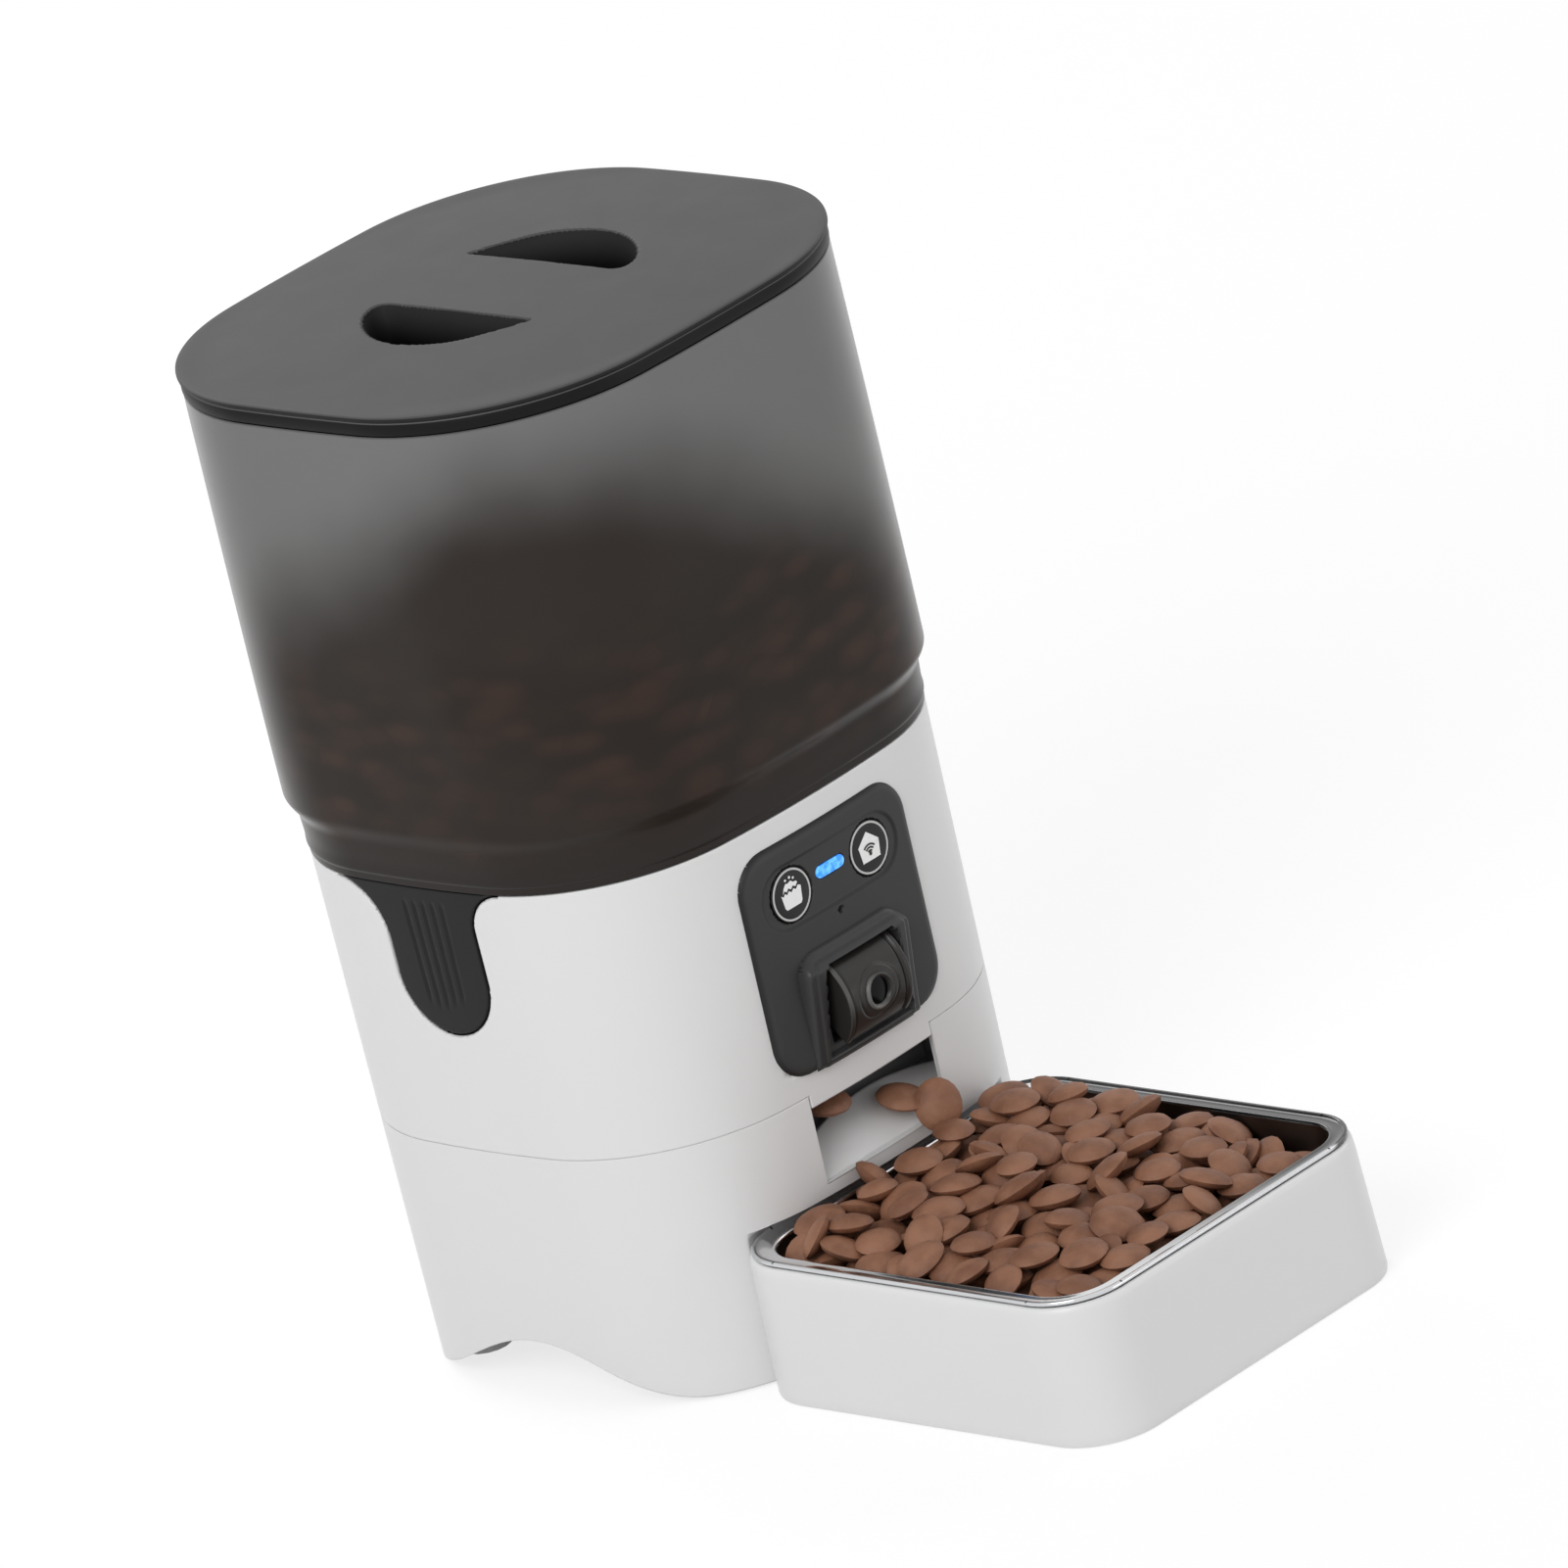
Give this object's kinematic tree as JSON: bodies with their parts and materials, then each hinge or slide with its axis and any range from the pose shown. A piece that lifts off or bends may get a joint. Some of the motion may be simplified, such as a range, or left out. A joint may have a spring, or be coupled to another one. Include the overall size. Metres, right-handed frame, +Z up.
{
  "type": "automatic pet feeder",
  "caption": "Automatic pet feeder with a smoky lift-off hopper, a white drive base with camera panel, a food chute, and a steel bowl in a pull-out tray.",
  "frame": {"origin": "on the floor, under the middle of the whole footprint", "axes": "+Z up, the camera panel and the bowl face -Y, +X to the right as seen from the front"},
  "size_m": [0.1876, 0.3114, 0.3324],
  "materials": {
    "white_plastic": "fine satin",
    "lid_grey": "satin",
    "black_plastic": "satin",
    "dark_plastic": "satin",
    "smoky_plastic": "see-through smoky, lightly frosted",
    "silicone": "matte",
    "rubber": "matte",
    "panel_plastic": "soft satin",
    "latch_plastic": "satin, ribbed",
    "black_gloss": "polished",
    "lens": "coated",
    "blue_light": "lit light guide",
    "circuit_board": "solder mask",
    "steel": "plain",
    "bowl_steel": "polished",
    "brass": "machined",
    "cell_jacket": "film jacket over the can"
  },
  "bodies": {
    "base": {"upper_shell": "white_plastic", "lower_shell": "white_plastic", "tray_dock": "white_plastic", "bottom_plate": "white_plastic", "inner_deck": "white_plastic", "chute": "white_plastic", "food_sensor_left": "black_plastic", "food_sensor_right": "black_plastic", "speaker": "black_plastic", "power_socket": "black_plastic", "gearbox_case": "dark_plastic", "gearbox_cover": "dark_plastic", "motor": "steel", "battery_cell_1": "cell_jacket", "battery_cell_2": "cell_jacket", "battery_cell_3": "cell_jacket", "contact_front": "steel", "contact_back": "steel", "foot_1": "rubber", "foot_2": "rubber", "foot_3": "rubber", "foot_4": "rubber", "bottom_screw_1": "steel", "bottom_screw_2": "steel", "bottom_screw_3": "steel", "bottom_screw_4": "steel", "front_panel": "panel_plastic", "status_light": "blue_light", "microphone": "black_plastic", "light_sensor": "lens", "main_board": "circuit_board", "camera_hood": "panel_plastic", "camera_bracket": "black_plastic"},
    "hopper": {"hopper": "smoky_plastic", "hopper_floor": "dark_plastic", "portion_cover": "dark_plastic"},
    "lid": {"lid_cover": "lid_grey", "lid_skirt": "black_plastic", "lid_seal": "silicone", "desiccant_cup": "black_plastic"},
    "desiccant_cap": {"desiccant_cap": "black_plastic"},
    "rotor": {"rotor": "dark_plastic", "agitator": "silicone"},
    "drive": {"drive_gear": "white_plastic"},
    "pinion": {"motor_pinion": "brass"},
    "feed_button": {"feed_button": "panel_plastic"},
    "call_button": {"call_button": "panel_plastic"},
    "camera": {"camera_drum": "black_gloss", "lens_barrel": "black_plastic", "lens_glass": "lens"},
    "latch_left": {"latch_left": "latch_plastic"},
    "latch_right": {"latch_right": "latch_plastic"},
    "tray": {"tray": "white_plastic"},
    "bowl": {"bowl": "bowl_steel"},
    "battery_cover": {"battery_cover": "white_plastic"}
  },
  "joints": [
    {"name": "hopper_lift", "type": "slide", "parent": "base", "child": "hopper", "axis": [0, 0, 1], "range_m": [0, 0.05]},
    {"name": "lid_lift", "type": "slide", "parent": "hopper", "child": "lid", "axis": [0, 0, 1], "range_m": [0, 0.06]},
    {"name": "desiccant_cap_turn", "type": "hinge", "parent": "lid", "child": "desiccant_cap", "pos_m": [0, 0.06635, 0.307], "axis": [0, 0, 1], "range_deg": [0, 45]},
    {"name": "rotor_spin", "type": "hinge", "parent": "hopper", "child": "rotor", "pos_m": [0, 0.07835, 0.15], "axis": [0, 0, 1], "continuous": true},
    {"name": "drive_spin", "type": "hinge", "parent": "base", "child": "drive", "pos_m": [0, 0.07835, 0.12], "axis": [0, 0, 1], "continuous": true},
    {"name": "motor_spin", "type": "hinge", "parent": "base", "child": "pinion", "pos_m": [0, 0.09531, 0.12], "axis": [0, 0, 1], "continuous": true},
    {"name": "latch_left_press", "type": "slide", "parent": "base", "child": "latch_left", "axis": [1, 0, 0], "range_m": [0, 0.0025], "stiffness_N_per_m": 1500},
    {"name": "latch_right_press", "type": "slide", "parent": "base", "child": "latch_right", "axis": [-1, 0, 0], "range_m": [0, 0.0025], "stiffness_N_per_m": 1500},
    {"name": "feed_button_press", "type": "slide", "parent": "base", "child": "feed_button", "axis": [0, 1, 0], "range_m": [0, 0.001], "stiffness_N_per_m": 2000},
    {"name": "call_button_press", "type": "slide", "parent": "base", "child": "call_button", "axis": [0, 1, 0], "range_m": [0, 0.001], "stiffness_N_per_m": 2000},
    {"name": "camera_tilt", "type": "hinge", "parent": "base", "child": "camera", "pos_m": [0, -0.00975, 0.1075], "axis": [1, 0, 0], "range_deg": [-12, 12]},
    {"name": "tray_slide", "type": "slide", "parent": "base", "child": "tray", "axis": [0, -1, 0], "range_m": [0, 0.06]},
    {"name": "bowl_tip", "type": "hinge", "parent": "tray", "child": "bowl", "pos_m": [0, -0.00505, 0.0459], "axis": [-1, 0, 0], "range_deg": [0, 15]},
    {"name": "battery_cover_drop", "type": "slide", "parent": "base", "child": "battery_cover", "axis": [0, 0, -1], "range_m": [0, 0.014]}
  ],
  "couplings": [
    {"joint": "drive_spin", "follows": "rotor_spin", "ratio": 1},
    {"joint": "motor_spin", "follows": "rotor_spin", "ratio": -2.5}
  ]
}
